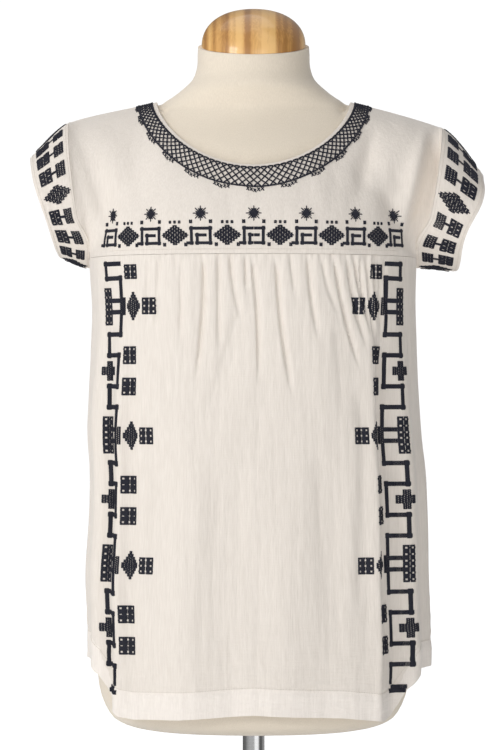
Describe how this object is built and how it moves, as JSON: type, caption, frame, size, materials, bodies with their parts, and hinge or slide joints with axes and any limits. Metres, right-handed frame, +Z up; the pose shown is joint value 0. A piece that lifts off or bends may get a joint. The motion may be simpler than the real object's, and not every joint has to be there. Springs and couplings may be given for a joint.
{
  "type": "short-sleeve blouse on a dress form",
  "caption": "Loose cotton blouse with a round neck, short set-in sleeves and a yoke with gathers below it, worn on a limbless dress form with a wooden neck cap, pole and round foot.",
  "frame": {"origin": "centre of the foot's underside, on the surface that the stand rests on", "axes": "+Z up along the pole, -Y the blouse's front, +X to the right of a viewer in front of it"},
  "size_m": [0.449, 0.28, 0.8869],
  "materials": {
    "cotton": "thin slubby cotton gauze, off-white",
    "jersey": "smooth beige jersey cover",
    "lacquered_wood": "glossy lacquered laminated wood",
    "pole_chrome": "polished",
    "foot_metal": "satin"
  },
  "bodies": {
    "root": {"front_yoke": "cotton", "front_panel": "cotton", "back_yoke": "cotton", "back_panel": "cotton", "sleeve_left": "cotton", "sleeve_right": "cotton", "neck_binding": "cotton", "form_torso": "jersey", "form_neck_cap": "lacquered_wood", "stand_pole": "pole_chrome", "stand_base": "foot_metal"}
  },
  "joints": []
}
